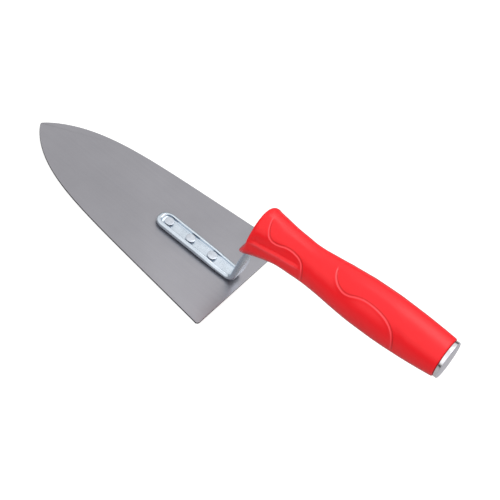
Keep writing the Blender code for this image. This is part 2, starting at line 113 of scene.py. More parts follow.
# Columns: station along the handle's axis, reach above the axis, reach below it,
# half width.
GRIP_STATIONS = (
    (-4.3, 20.08, 25.9, 15.8), (2.0, 17.5, 20.9, 14.4), (10.0, 15.8, 16.3, 13.8),
    (18.0, 14.6, 13.9, 12.8), (26.0, 13.5, 13.3, 12.4), (36.0, 12.8, 13.4, 12.0),
    (48.0, 13.7, 13.9, 12.8), (60.0, 14.9, 15.1, 14.0), (76.0, 15.9, 16.3, 15.1),
    (92.0, 16.0, 16.6, 15.3), (110.0, 15.0, 16.0, 14.7), (124.0, 13.8, 14.7, 13.9),
    (133.3, 12.8, 13.5, 13.15),
)
GRIP_START = GRIP_STATIONS[0][0]
GRIP_END = GRIP_STATIONS[-1][0]
AXIS_RISE = math.radians(4.5)
AXIS_Z0 = 56.4                         # height of the axis above the heel
GRIP_FACE_LEAN = 0.07                  # lean of the front face
GRIP_LIP_LEAN = 0.165                  # and of its lower lip
GRIP_FACE_BOW = 0.6
GRIP_TOE = 2.3                         # forward push of the lip
GRIP_TOE_BACK = 2.6                    # and its return at the very bottom
GRIP_FACE_FADE = 25.0                  # run over which the lean dies out
GRIP_FRONT_TOP_R = 6.6
GRIP_FRONT_LOW_R = 3.0
GRIP_REAR_R = 1.0
GRIP_LOWER_POWER = 2.9                 # squareness of the lower half at the front
GRIP_LOWER_NARROW = 0.45

GRIP_AROUND = 248                      # vertices in a ring
GRIP_RING_STEP = 0.38
# Finer rings over the front and rear rounds: distances from the front face, and
# degrees round the rear edge.
GRIP_FRONT_RINGS = (0.0, 0.03, 0.1, 0.22, 0.38, 0.58, 0.82, 1.1, 1.45, 1.8)
GRIP_REAR_RINGS = (0, 12, 24, 36, 48, 60, 72, 82, 90)
FACE_RINGS = (0.9, 0.75, 0.55, 0.3)    # scales of the rings across the front face
FACE_DISH = 0.5

# Two S-shaped steps cross the handle; the skin in front of each stands proud.
# Columns: station along the axis, degrees above the side. They run from the top
# line over the near side to the bottom line and are mirrored.
STEP_FRONT = (
    (4.0, 90), (4.1, 77), (5.0, 64), (6.6, 51), (8.6, 41), (11.2, 36), (14.4, 35.3),
    (17.2, 38), (20.5, 43), (24.2, 45.3), (28.0, 43.5), (31.0, 39), (33.6, 30.5),
    (35.2, 19), (36.1, 8), (36.7, -8), (36.9, -35), (36.6, -65), (36.5, -90),
)
STEP_REAR = (
    (53.4, 90), (54.8, 68), (57.4, 52), (60.6, 42), (64.8, 36.6), (68.6, 38.2),
    (72.0, 43.5), (75.9, 48.5), (80.0, 50.6), (85.0, 50), (90.2, 47), (95.1, 41.6),
    (99.0, 33.6), (102.0, 22.5), (104.2, 6), (105.3, -15), (105.8, -45), (105.8, -90),
)
STEP_HEIGHT = 0.50
STEP_GROOVE = 0.16
STEP_ROLL = 0.20
STEP_REACH = 16                        # stations this far past a step are untouched
CREASE_SCOOP = 1.1                     # depth cut above the side crease
CREASE_HOLLOW = 0.35                   # and below it

SLOT_HALF = 6.7
SLOT_START = 4.0                       # slot and pocket start this far up the neck
SLOT_RISE = 8.6                        # the slot ends this far above the neck
SLOT_SIDE_TRIM = 0.05
SLOT_CORNER = 1.6
SLOT_DEPTHS = (1.5, 22.0)              # reach in front of the neck's back
POCKET_EXTRA = 1.2
POCKET_SIDE = 0.4                      # room round the tang: at the sides,
POCKET_UNDER = 0.4                     # below
POCKET_OVER = 0.6                      # and above the rim

CAP_R = 12.5
CAP_STANDOFF = 2.98
CAP_DROP = 0.3                         # its centre lies this far below the axis
CAP_SEAT_ROUND = 0.25
CAP_TOP_ROUND = 0.75
PLUG_R = 8.0
PLUG_WALL = 1.1
PLUG_LEN = 12.0


# ---- curve helpers -------------------------------------------------------

def hermite(stations, column):
    """Monotone cubic through one column of the stations, vectorised."""
    knots = np.array([row[0] for row in stations], float)
    values = np.array([row[column] for row in stations], float)
    gaps = np.diff(knots)
    rates = np.diff(values) / gaps
    slopes = np.zeros(len(knots))
    for i in range(1, len(knots) - 1):
        if rates[i - 1] * rates[i] > 0:
            before = 2 * gaps[i] + gaps[i - 1]
            after = gaps[i] + 2 * gaps[i - 1]
            slopes[i] = (before + after) / (before / rates[i - 1] + after / rates[i])
    slopes[0], slopes[-1] = rates[0], rates[-1]

    def curve(x):
        x = np.clip(np.asarray(x, float), knots[0], knots[-1])
        i = np.clip(np.searchsorted(knots, x, side="right") - 1, 0, len(knots) - 2)
        t = (x - knots[i]) / gaps[i]
        return ((1 + 2 * t) * (1 - t) ** 2 * values[i]
                + t * (1 - t) ** 2 * gaps[i] * slopes[i]
                + t * t * (3 - 2 * t) * values[i + 1]
                + t * t * (t - 1) * gaps[i] * slopes[i + 1])
    return curve


def ease(value, start, end):
    """Smooth step from 0 at start to 1 at end."""
    t = np.clip((np.asarray(value, float) - start) / (end - start), 0.0, 1.0)
    return t * t * (3 - 2 * t)


def swell(value, up, down):
    """Eases up over one (start, end) range and down again over another."""
    return ease(value, *up) * (1 - ease(value, *down))


def ridge(value, centre, width):
    return np.exp(-((value - centre) / width) ** 2)


def catmull(points, per_span):
    """Smooth curve through 2-D points."""
    knots = [np.array(point, float) for point in points]
    knots = [2 * knots[0] - knots[1]] + knots + [2 * knots[-1] - knots[-2]]
    curve = []
    for i in range(1, len(knots) - 2):
        before, start, end, after = knots[i - 1:i + 3]
        for k in range(per_span):
            t = k / per_span
            curve.append(0.5 * ((2 * start) + (end - before) * t
                                + (2 * before - 5 * start + 4 * end - after) * t * t
                                + (3 * start - before - 3 * end + after) * t ** 3))
    curve.append(knots[-2])
    return np.array(curve)


def inside_polygon(x, y, polygon):
    inside = np.zeros(x.shape, bool)
    for (x1, y1), (x2, y2) in zip(polygon, polygon[1:] + polygon[:1]):
        if y1 == y2:
            continue
        crosses = (y1 > y) != (y2 > y)
        inside ^= crosses & (x < x1 + (y - y1) * (x2 - x1) / (y2 - y1))
    return inside


def distance_to_polyline(points, line):
    nearest = np.full(len(points), 1e9)
    for start, end in zip(line[:-1], line[1:]):
        span = end - start
        t = np.clip(((points - start) @ span) / max(span @ span, 1e-12), 0, 1)
        distance = np.linalg.norm(points - (start + t[:, None] * span), axis=1)
        nearest = np.minimum(nearest, distance)
    return nearest


def arc(centre_x, centre_y, radius, start, end, count):
    """count points along an arc, ends included. Angles in degrees."""
    angles = [math.radians(start + (end - start) * i / (count - 1)) for i in range(count)]
    return [(centre_x + radius * math.cos(angle), centre_y + radius * math.sin(angle))
            for angle in angles]


# ---- mesh helpers --------------------------------------------------------

def new_object(name, verts, faces, sharp_deg=35.0, merge=0.0):
    """Object from millimetre points drawn from the heel. merge is in metres."""
    points = np.asarray(verts, float) * MM
    points = points + np.array([HEEL_X, 0.0, 0.0])
    mesh = bpy.data.meshes.new(name)
    mesh.from_pydata(points.tolist(), [], [tuple(int(i) for i in face) for face in faces])
    mesh.validate()
    bm = bmesh.new()
    bm.from_mesh(mesh)
    if merge:
        bmesh.ops.remove_doubles(bm, verts=bm.verts, dist=merge)
        bmesh.ops.dissolve_degenerate(bm, dist=merge, edges=bm.edges)
    bmesh.ops.recalc_face_normals(bm, faces=bm.faces)
    if bm.calc_volume(signed=True) < 0:
        bmesh.ops.reverse_faces(bm, faces=bm.faces)
    bm.to_mesh(mesh)
    bm.free()
    obj = bpy.data.objects.new(name, mesh)
    bpy.context.scene.collection.objects.link(obj)
    finish_shading(obj, sharp_deg)
    return obj


def finish_shading(obj, sharp_deg):
    obj.data.shade_smooth()
    obj.data.set_sharp_from_angle(angle=math.radians(sharp_deg))


def drop_islands(bm, fewest=12):
    """Deletes the loose two-sided flaps that a cut can leave behind."""
    seen, stray = set(), []
    for start in bm.faces:
        if start in seen:
            continue
        seen.add(start)
        island, queue = [start], [start]
        while queue:
            for edge in queue.pop().edges:
                for face in edge.link_faces:
                    if face not in seen:
                        seen.add(face)
                        island.append(face)
                        queue.append(face)
        if len(island) < fewest:
            stray += island
    if stray:
        bmesh.ops.delete(bm, geom=stray, context="FACES")


def drop_doubled(bm):
    """Deletes the slivers that lie back to back on the same three corners."""
    bmesh.ops.triangulate(bm, faces=bm.faces[:], quad_method="FIXED",
                          ngon_method="EAR_CLIP")
    groups = {}
    for face in bm.faces:
        groups.setdefault(frozenset(face.verts), []).append(face)
    doubled = []
    for same in groups.values():
        doubled += same[len(same) % 2:]
    if doubled:
        bmesh.ops.delete(bm, geom=doubled, context="FACES")


def subtract(obj, cutters, sharp_deg, slivers=False):
    """Cuts the cutters out of obj, deletes them and cleans up the mesh."""
    for cutter in cutters:
        mod = obj.modifiers.new("cut", "BOOLEAN")
        mod.operation = "DIFFERENCE"
        mod.solver = "EXACT"
        mod.object = cutter
    bpy.context.view_layer.update()
    deps = bpy.context.evaluated_depsgraph_get()
    mesh = bpy.data.meshes.new_from_object(obj.evaluated_get(deps))
    obj.modifiers.clear()
    old = obj.data
    obj.data = mesh
    bpy.data.meshes.remove(old)
    for cutter in cutters:
        data = cutter.data
        bpy.data.objects.remove(cutter, do_unlink=True)
        bpy.data.meshes.remove(data)
    bm = bmesh.new()
    bm.from_mesh(mesh)
    bmesh.ops.remove_doubles(bm, verts=bm.verts, dist=1e-7)
    bmesh.ops.dissolve_degenerate(bm, dist=1e-7, edges=bm.edges)
    drop_islands(bm)
    if slivers:
        drop_doubled(bm)
    loose = [vert for vert in bm.verts if not vert.link_faces]
    if loose:
        bmesh.ops.delete(bm, geom=loose, context="VERTS")
    bm.to_mesh(mesh)
    bm.free()
    finish_shading(obj, sharp_deg)
    return obj


def ring_faces(rows, around):
    """Quads between consecutive closed rings of vertices."""
    faces = []
    for i in range(rows - 1):
        for j in range(around):
            k = (j + 1) % around
            faces.append((i * around + j, i * around + k,
                          (i + 1) * around + k, (i + 1) * around + j))
    return faces


def closed_tube_faces(rows, around):
    faces = ring_faces(rows, around)
    faces.append(tuple(reversed(range(around))))
    faces.append(tuple(range((rows - 1) * around, rows * around)))
    return faces


def lathe(profile, segments, place):
    """Turns (radius, height) points; place(x, y, height) puts each vertex."""
    verts, faces, rows = [], [], []
    for radius, height in profile:
        if radius < 1e-9:
            verts.append(place(0.0, 0.0, height))
            rows.append([len(verts) - 1])
            continue
        row = []
        for j in range(segments):
            angle = 2 * math.pi * j / segments
            verts.append(place(radius * math.cos(angle), radius * math.sin(angle), height))
            row.append(len(verts) - 1)
        rows.append(row)
    for low, high in zip(rows[:-1], rows[1:]):
        for j in range(segments):
            k = (j + 1) % segments
            if len(low) == 1:
                faces.append((low[0], high[j], high[k]))
            elif len(high) == 1:
                faces.append((low[j], low[k], high[0]))
            else:
                faces.append((low[j], low[k], high[k], high[j]))
    return verts, faces


def rivet_hole_cutters(profile, segments):
    """The same upright turned cutter at every rivet."""
    cutters = []
    for rivet_x in RIVET_X:
        shape = lathe(profile, segments, lambda x, y, height: (rivet_x + x, y, height))
        cutters.append(new_object("cutter", *shape))
    return cutters


# ---- blade ---------------------------------------------------------------

def blade_half_width(x):
    t = min(max(x / BLADE_LENGTH, 0.0), 1.0)
    return (BLADE_HEEL_HALF * (1 - BLADE_TAPER * t)
            * (1 - t ** BLADE_NOSE_POWER) ** BLADE_NOSE_ROUND)


def blade_outline():
    """Plan outline and its outward normals; points crowd towards the nose."""
    radius, corner_steps, side_steps = BLADE_HEEL_RADIUS, 10, 220
    side = [(radius - radius * math.cos(QUARTER * i / corner_steps),
             BLADE_HEEL_HALF - radius + radius * math.sin(QUARTER * i / corner_steps))
            for i in range(corner_steps)]
    side.append((radius, blade_half_width(radius)))
    for i in range(1, side_steps):
        x = BLADE_LENGTH * (1 - (1 - i / side_steps) ** 2.0)
        if x > radius + 0.8:
            side.append((x, blade_half_width(x)))
    side.append((BLADE_LENGTH, 0.0))
    outline = np.array(side + [(x, -y) for x, y in reversed(side[:-1])])
    tangent = np.roll(outline, -1, axis=0) - np.roll(outline, 1, axis=0)
    normal = np.stack([-tangent[:, 1], tangent[:, 0]], axis=1)
    normal /= np.linalg.norm(normal, axis=1)[:, None]
    centre = np.array([BLADE_LENGTH * 0.4, 0.0])
    if ((outline - centre) * normal).sum() < 0:
        normal = -normal
    return outline, normal


def build_blade():
    outline, normal = blade_outline()
    edge, steps = BLADE_EDGE, 5
    angles = [QUARTER * i / (steps - 1) for i in range(steps)]
    profile = [(edge - edge * math.sin(a), edge - edge * math.cos(a)) for a in angles]
    profile += [(edge - edge * math.cos(a), BLADE_THICK - edge + edge * math.sin(a))
                for a in angles]
    verts = []
    for inset, z in profile:
        ring = outline - normal * inset
        # the heel stays one straight line
        ring[:, 0] = np.maximum(ring[:, 0], inset)
        verts.extend([(x, y, z) for x, y in ring])
    faces = closed_tube_faces(len(profile), len(outline))
    blade = new_object("blade_sheet", verts, faces, 30.0)

    # rivet holes, flared at the underside
    flare_top, hole_top = 0.9, BLADE_THICK + CUT_OVERRUN
    hole = [(0.0, -CUT_OVERRUN), (RIVET_TAIL_R + GAP + 1.0, -CUT_OVERRUN),
            (RIVET_HOLE_R, flare_top), (RIVET_HOLE_R, hole_top), (0.0, hole_top)]
    subtract(blade, rivet_hole_cutters(hole, 72), 30.0)
    for face in blade.data.polygons:
        if abs(face.normal.z) > 0.9999 and face.area > 1e-6:
            face.use_smooth = False
    return blade


# ---- shank ---------------------------------------------------------------

# The shank follows a path on its underside (the neck's back): from the foot's
# front end back along the blade, round the first bend, up the neck, round the
# second bend and back along the tang inside the handle.
FOOT_LEN = FOOT_END - BEND1_X
BEND1_LEN = BEND1_R * BEND1_TURN
BEND2_LEN = BEND2_R * math.radians(84.0 - 4.5)
NECK_START = FOOT_LEN + BEND1_LEN
BEND2_START = NECK_START + NECK_LEN
TANG_START = BEND2_START + BEND2_LEN


def path_frame(along):
    """The path's (x, z) point and (x, z) normal at a distance along it."""
    if along <= FOOT_LEN:
        return (FOOT_END - along, FOOT_Z), (0.0, 1.0)
    along -= FOOT_LEN
    turn = min(along / BEND1_R, BEND1_TURN)
    normal = (math.sin(turn), math.cos(turn))
    x = BEND1_X - BEND1_R * normal[0]
    z = FOOT_Z + BEND1_R - BEND1_R * normal[1]
    if along <= BEND1_LEN:
        return (x, z), normal
    along -= BEND1_LEN
    normal = (math.sin(BEND1_TURN), math.cos(BEND1_TURN))
    run = min(along, NECK_LEN)
    x, z = x - run * normal[1], z + run * normal[0]
    if along <= NECK_LEN:
        return (x, z), normal
    along -= NECK_LEN
    centre_x, centre_z = x - BEND2_R * normal[0], z - BEND2_R * normal[1]
    turn = max(BEND1_TURN - along / BEND2_R, AXIS_RISE)
    normal = (math.sin(turn), math.cos(turn))
    x, z = centre_x + BEND2_R * normal[0], centre_z + BEND2_R * normal[1]
    if along <= BEND2_LEN:
        return (x, z), normal
    along -= BEND2_LEN
    normal = (math.sin(AXIS_RISE), math.cos(AXIS_RISE))
    return (x - along * normal[1], z + along * normal[0]), normal


def path_point(along, y, height):
    (x, z), (normal_x, normal_z) = path_frame(along)
    return (x + normal_x * height, y, z + normal_z * height)


def shank_half_width(along):
    half = FOOT_HALF + (NECK_HALF - FOOT_HALF) * ease(along, FOOT_LEN - 12.0, NECK_START)
    return half + (TANG_END_HALF - NECK_HALF) * ease(along, TANG_START,
                                                     TANG_START + TANG_LEN)


def lip_scale(along):
    """Rim height as a share of the full rim."""
    neck = 1.0 - NECK_LIP_FADE * ease(along, NECK_START + 12.0, TANG_START)
    dip = swell(along, up=(FOOT_LEN - 26.0, FOOT_LEN - 4.0),
                down=(FOOT_LEN, NECK_START + 3.0))
    nose = 1.0 - NOSE_LIP_DIP * (1.0 - ease(along, start=0.5, end=9.0))
    tang = 1.0 - ease(along, TANG_START, TANG_START + TANG_LIP_END)
    return nose * (1.0 - BEND_LIP_DIP * dip) * neck * tang


def inset_scale(along):
    """The side rounds shrink as the tang narrows."""
    return 1.0 - 0.65 * ease(along, TANG_START, TANG_START + TANG_LIP_END + 20.0)


def shank_plan():
    """Near half of the unrolled outline: distance, half width, outward normal."""
    nose_steps, tang_end_steps = 16, 8
    flat = FOOT_HALF - FOOT_CORNER
    plan = [(0.0, flat, (-1.0, 0.0))]
    for i in range(1, nose_steps):
        angle = QUARTER * i / nose_steps
        out_along, out_y = -math.cos(angle) / FOOT_NOSE, math.sin(angle) / FOOT_CORNER
        size = math.hypot(out_along, out_y)
        plan.append((FOOT_NOSE * (1 - math.cos(angle)), flat + FOOT_CORNER * math.sin(angle),
                     (out_along / size, out_y / size)))
    stations = list(np.linspace(FOOT_NOSE, FOOT_LEN, 40))
    for length, count in ((BEND1_LEN, 28), (NECK_LEN, 26), (BEND2_LEN, 18), (TANG_LEN, 40)):
        start = stations[-1]
        stations += [start + length * i / count for i in range(1, count + 1)]
    plan += [(along, shank_half_width(along), (0.0, 1.0)) for along in stations[:-1]]
    end, radius = stations[-1], TANG_END_ROUND
    half_end = shank_half_width(end)
    for i in range(tang_end_steps + 1):
        angle = QUARTER * i / tang_end_steps
        plan.append((end - radius + radius * math.sin(angle),
                     half_end - radius + radius * math.cos(angle),
                     (math.sin(angle), math.cos(angle))))
    return plan


def shank_rings():
    """(inset, height, ramp) rings from the underside over the rim to the floor."""
    def quarter(steps, first=1):
        return [QUARTER * i / steps for i in range(first, steps + 1)]

    rings = [(SHEET - SHEET * math.sin(a), SHEET - SHEET * math.cos(a), 0.0)
             for a in quarter(9, first=0)]
    rings += [(LIP_ROUND - LIP_ROUND * math.cos(a), SHEET + (LIP - SHEET) * math.sin(a), 0.0)
              for a in quarter(10)]
    inner = [(LIP_CREST_INSET + LIP_INNER_R * math.sin(a), LIP - LIP_INNER_R * (1 - math.cos(a)))
             for a in quarter(5)]
    inner += [(LIP_WALL_INSET + LIP_FILLET * (1 - math.cos(a)),
               SHEET + LIP_FILLET * (1 - math.sin(a))) for a in quarter(6, first=0)]
    return rings + [(inset, height, (LIP - height) / (LIP - SHEET)) for inset, height in inner]


def shank_vertex(ring, plan_point, side):
    ring_inset, height, ramp = ring
    along, half, (out_along, out_y) = plan_point
    inset = ring_inset * inset_scale(along)
    inner_along = along - out_along * inset + FOOT_RAMP * ramp * max(-out_along, 0.0)
    y = max(half - out_y * inset, SHANK_MIN_HALF)
    scale = lip_scale(inner_along)
    if height > SHEET:
        height = SHEET + (height - SHEET) * scale
    elif along > TANG_START and 0.1 < height < SHEET:
        height = height * (0.5 + 0.5 * scale)
    return path_point(max(inner_along, 0.0), side * y, height)


def build_shank():
    plan, rings = shank_plan(), shank_rings()
    verts = []
    for ring in rings:
        verts += [shank_vertex(ring, point, 1) for point in plan]
        verts += [shank_vertex(ring, point, -1) for point in reversed(plan)]
    around = 2 * len(plan)
    faces = ring_faces(len(rings), around)
    # strips across the underside and the floor
    for first, flip in ((0, True), ((len(rings) - 1) * around, False)):
        last = first + around - 1
        for i in range(len(plan) - 1):
            quad = (first + i, first + i + 1, last - 1 - i, last - i)
            faces.append(tuple(reversed(quad)) if flip else quad)
    shank = new_object("shank_pressing", verts, faces, 40.0, merge=2e-6)

    low, high = FOOT_Z - CUT_OVERRUN, FOOT_Z + SHEET + CUT_OVERRUN
    hole = [(0.0, low), (RIVET_HOLE_R, low), (RIVET_HOLE_R, high), (0.0, high)]
    return subtract(shank, rivet_hole_cutters(hole, 64), 40.0)


# ---- rivets --------------------------------------------------------------

def build_rivet(name, rivet_x, phase):
    """Rivet with a flared tail and a low head; phase turns its unevenness."""
    tail_z, tail_edge, flare_top = 0.05, 0.12, 0.95
    crown_drop, crown_steps = 0.08, 8
    seat = FOOT_Z + SHEET + GAP
    top = seat + RIVET_HEAD_H
    edge = RIVET_HEAD_EDGE
    profile = [(0.0, tail_z), (RIVET_TAIL_R - tail_edge, tail_z), (RIVET_TAIL_R, 0.12),
               (RIVET_R, flare_top), (RIVET_R, seat), (RIVET_NECK_R, seat),
               (RIVET_NECK_R + 0.1, seat + 0.12)]
    profile += arc(RIVET_HEAD_R - edge, top - edge - crown_drop, edge, -22, 80, 10)
    # very shallow crown on the head
    rim_radius, rim_height = profile[-1]
    for i in range(1, crown_steps):
        scale = 1 - i / crown_steps
        profile.append((rim_radius * scale, rim_height + (top - rim_height) * (1 - scale ** 2)))
    profile.append((0.0, top))

    def place(x, y, height):
        # the head is a little uneven
        scale = 1.0
        if height > seat + 0.05:
            lobes = 1 + math.sin(3 * math.atan2(y, x) + phase)
            scale -= 0.008 * lobes * min(math.hypot(x, y) / RIVET_HEAD_R, 1.0)
        return (rivet_x + x * scale, y * scale, height)
    return new_object(name, *lathe(profile, 96, place), 45.0)


# ---- handle --------------------------------------------------------------

AXIS_DIR = np.array([-math.cos(AXIS_RISE), 0.0, math.sin(AXIS_RISE)])
AXIS_UP = np.array([math.sin(AXIS_RISE), 0.0, math.cos(AXIS_RISE)])
AXIS_ORIGIN = np.array([0.0, 0.0, AXIS_Z0])
reach_above, reach_below, half_width = (hermite(GRIP_STATIONS, c) for c in (1, 2, 3))


def axis_points(station, y, rise):
    """Points at a station along the axis, y across and rise square to it."""
    return (AXIS_ORIGIN + np.multiply.outer(station, AXIS_DIR)
            + np.multiply.outer(rise, AXIS_UP)
            + np.multiply.outer(y, np.array([0.0, 1.0, 0.0])))


def cap_axis_point(y, rise, station):
    return tuple(axis_points(station, y, rise - CAP_DROP))


def grip_section(station, theta):
    """y, rise and station shift of the plain skin at stations and angles."""
    cos, sin = np.cos(theta), np.sin(theta)
    # the lower half is squarer and narrower towards the front
    fade = 1.0 - ease(station, start=14.0, end=34.0)
    power = np.where(sin < 0, 2.0 + (GRIP_LOWER_POWER - 2.0) * fade, 2.0)
    narrow = np.where(sin < 0, GRIP_LOWER_NARROW * fade, 0.0)
    reach = np.where(sin < 0, reach_below(station), reach_above(station))
    y = (half_width(station) * np.sign(cos) * np.abs(cos) ** (2 / power)
         * (1 - narrow * np.abs(sin) ** 1.5))
    rise = reach * np.sign(sin) * np.abs(sin) ** (2 / power)

    # rounded front and rear edges
    depth = station - GRIP_START
    radius = GRIP_FRONT_LOW_R + (GRIP_FRONT_TOP_R - GRIP_FRONT_LOW_R) * np.maximum(sin, 0.0)
    inset = np.where(depth < radius, radius - np.sqrt(
        np.maximum(radius * radius - (radius - depth) ** 2, 0.0)), 0.0)
    tail = station - (GRIP_END - GRIP_REAR_R)
    inset = inset + np.where(tail > 0, GRIP_REAR_R - np.sqrt(
        np.maximum(GRIP_REAR_R ** 2 - np.maximum(tail, 0) ** 2, 0.0)), 0.0)
    scale = 1 - inset / np.hypot(y, rise)
    y, rise = y * scale, rise * scale

    # lean, bow and toe of the front face
    lip_depth, bow_half = 20.0, 16.0
    lip_lean = (GRIP_LIP_LEAN - GRIP_FACE_LEAN) * np.minimum(-rise / lip_depth, 1.0)
    lean = np.where(rise > 0, GRIP_FACE_LEAN, GRIP_FACE_LEAN + lip_lean)
    face_fade = np.maximum(0.0, 1.0 - (station - GRIP_START) / GRIP_FACE_FADE) ** 2
    bow = GRIP_FACE_BOW * (1 - (rise / bow_half) ** 2)
    bow = (bow + GRIP_TOE_BACK * ease(-rise, start=19.0, end=25.0)
           - GRIP_TOE * ease(-rise, start=4.0, end=19.0))
    return y, rise, face_fade * (lean * rise + bow)


def grip_surface(station, theta):
    y, rise, shift = grip_section(station, theta)
    return axis_points(station + shift, y, rise)


def grip_ring_stations():
    stations = [GRIP_START + depth for depth in GRIP_FRONT_RINGS]
    station = stations[-1]
    while station < GRIP_END - GRIP_REAR_R - GRIP_RING_STEP:
        station += GRIP_RING_STEP
        stations.append(station)
    stations += [GRIP_END - GRIP_REAR_R + GRIP_REAR_R * math.sin(math.radians(angle))
                 for angle in GRIP_REAR_RINGS]
    return np.array(stations)


def grip_ring_angles(stations):
    """Angles that space each ring's vertices evenly along its outline."""
    fine = np.linspace(math.pi / 2, -1.5 * math.pi, 2401)
    rings = []
    for station in stations:
        y, rise, _ = grip_section(np.full(fine.shape, station), fine)
        run = np.concatenate([[0.0], np.cumsum(np.hypot(np.diff(y), np.diff(rise)))])
        rings.append(np.interp(np.linspace(0, run[-1], GRIP_AROUND + 1)[:-1], run, fine))
    return np.array(rings)


def grip_normals(skin, station):
    along = np.gradient(skin, axis=0)
    across = np.roll(skin, -1, axis=1) - np.roll(skin, 1, axis=1)
    normal = np.cross(along, across)
    normal /= np.maximum(np.linalg.norm(normal, axis=2)[..., None], 1e-9)
    centre = AXIS_ORIGIN + np.multiply.outer(station, AXIS_DIR)
    normal[((skin - centre) * normal).sum(axis=2) < 0] *= -1
    return normal


def step_distance(curve, station, angle, points):
    """Signed distance of mirrored skin points to a step, positive in front of it."""
    line = catmull(curve, 10)
    polygon = [tuple(point) for point in line]
    # closed past the top and bottom lines and well in front of the handle
    polygon[0] = (polygon[0][0], 95.0)
    polygon[-1] = (polygon[-1][0], -95.0)
    polygon += [(-60.0, -95.0), (-60.0, 95.0)]
    line_on_skin = grip_surface(line[:, 0], np.radians(np.clip(line[:, 1], -90, 90)))
    near = ((station > line[:, 0].min() - STEP_REACH)
            & (station < line[:, 0].max() + STEP_REACH))
    distance = np.full(len(points), 60.0)
    distance[near] = distance_to_polyline(points[near], line_on_skin)
    return np.where(inside_polygon(station, angle, polygon), distance, -distance)


def step_profile(distance):
    """Relief across a step. The low side is cut down at the step and comes back
    up to the skin further away."""
    low = -STEP_HEIGHT * (1 - ease(distance, start=-0.25, end=0.65))
    low = np.where(distance < -0.6,
                   -STEP_HEIGHT * (1 - ease(-distance, start=1.0, end=9.0)), low)
    groove = -STEP_GROOVE * ridge(distance, centre=-0.35, width=0.32)
    roll = -STEP_ROLL * swell(distance, up=(0.9, 2.6), down=(2.6, 9.0))
    return low + groove + roll


def grip_relief(skin, station, theta):
    """Relief in mm, the weight of the painted highlight along the crests and the weight of the
    painted shade at the step feet, for every skin vertex.
    """
    # mirrored side angle in degrees: 90 at the top line, -90 at the bottom line
    angle = np.degrees(np.arcsin(np.clip(np.sin(theta), -1, 1))).ravel()
    station = station.ravel()
    points = skin.reshape(-1, 3).copy()
    # the far side's upper half is nearly smooth
    far = ease(-points[:, 1], start=0.0, end=3.0)
    shallow = 1.0 - 0.8 * far * ease(angle, start=-5.0, end=15.0)
    points[:, 1] = np.abs(points[:, 1])

    relief, crest_highlight, foot = (np.zeros(len(points)) for _ in range(3))
    for curve in (STEP_FRONT, STEP_REAR):
        distance = step_distance(curve, station, angle, points)
        # the step runs out towards the top and bottom lines
        fade = ((1.0 - 0.96 * ease(angle, start=70.0, end=86.0))
                * (1.0 - ease(-angle, start=12.0, end=37.0)))
        relief += step_profile(distance) * fade * shallow
        # painted highlight weight along each step's crest, painted shade weight in the crevice
        # at its foot
        crest_highlight += 0.5 * ridge(distance, centre=0.5, width=0.27) * fade * shallow
        foot += 0.65 * ridge(distance, centre=-0.4, width=0.4) * fade * shallow

    # crease along the side of the front section: the skin above it is
    # scooped out, the skin below it is slightly hollow
    rise = grip_section(station, np.radians(angle))[1]
    crease_rise, crease_slope = 0.4, 0.055
    height = rise - (crease_rise + crease_slope * station)
    fade = swell(station, up=(-3.4, 2.0), down=(29.0, 37.0)) * shallow
    # painted highlight weight along the crease line
    crest_highlight += 0.35 * fade * ridge(height, centre=0.1, width=0.6)
    relief -= fade * CREASE_SCOOP * swell(height, up=(0.2, 2.4), down=(2.6, 9.5))
    relief -= fade * CREASE_HOLLOW * swell(-height, up=(0.2, 2.5), down=(2.5, 8.0))
    # none at either end of the handle
    relief *= ease(station - GRIP_START, start=0.2, end=3.0)
    relief *= 1 - ease(station, GRIP_END - 12.0, GRIP_END - 3.0)
    return relief, crest_highlight, foot


def grip_shell(skin):
    """Vertices and faces of the skin with both ends closed."""
    rows, around = skin.shape[:2]
    verts = skin.reshape(-1, 3).tolist()
    faces = ring_faces(rows, around)
    # front face: rings drawn in towards its middle, gently dished
    front = skin[0]
    middle = front.mean(axis=0)
    outer = 0
    for scale in FACE_RINGS:
        ring = middle + (front - middle) * scale + AXIS_DIR * FACE_DISH * (1 - scale ** 2) ** 2
        inner = len(verts)
        verts.extend(ring.tolist())
        for j in range(around):
            k = (j + 1) % around
            faces.append((outer + k, outer + j, inner + j, inner + k))
        outer = inner
    verts.append((middle + AXIS_DIR * FACE_DISH).tolist())
    for j in range(around):
        faces.append((outer + (j + 1) % around, outer + j, len(verts) - 1))
    # rear face: a plain fan
    last = (rows - 1) * around
    verts.append(skin[-1].mean(axis=0).tolist())
    for j in range(around):
        faces.append((last + j, last + (j + 1) % around, len(verts) - 1))
    return verts, faces


def slot_cutter():
    """Slot in front of the neck, with rounded upper corners."""
    (x, z), (normal_x, normal_z) = path_frame(NECK_START + SLOT_START)
    up_x, up_z = -normal_z, normal_x
    half, radius = SLOT_HALF - SLOT_SIDE_TRIM, SLOT_CORNER
    top = NECK_LEN - SLOT_START + SLOT_RISE
    outline = [(half, 0.0), (half, top - radius)]
    for side, angles in ((1, (20, 40, 60, 80)), (-1, (100, 120, 140, 160))):
        outline += [(side * (half - radius) + radius * math.cos(math.radians(angle)),
                     top - radius + radius * math.sin(math.radians(angle)))
                    for angle in angles]
    outline += [(-half, top - radius), (-half, 0.0)]
    verts = []
    for depth in SLOT_DEPTHS:
        verts += [(x + up_x * up + normal_x * depth, y, z + up_z * up + normal_z * depth)
                  for y, up in outline]
    count = len(outline)
    faces = [tuple(range(count)), tuple(reversed(range(count, 2 * count)))]
    faces += [(j, count + j, count + (j + 1) % count, (j + 1) % count) for j in range(count)]
    return new_object("cutter", verts, faces)


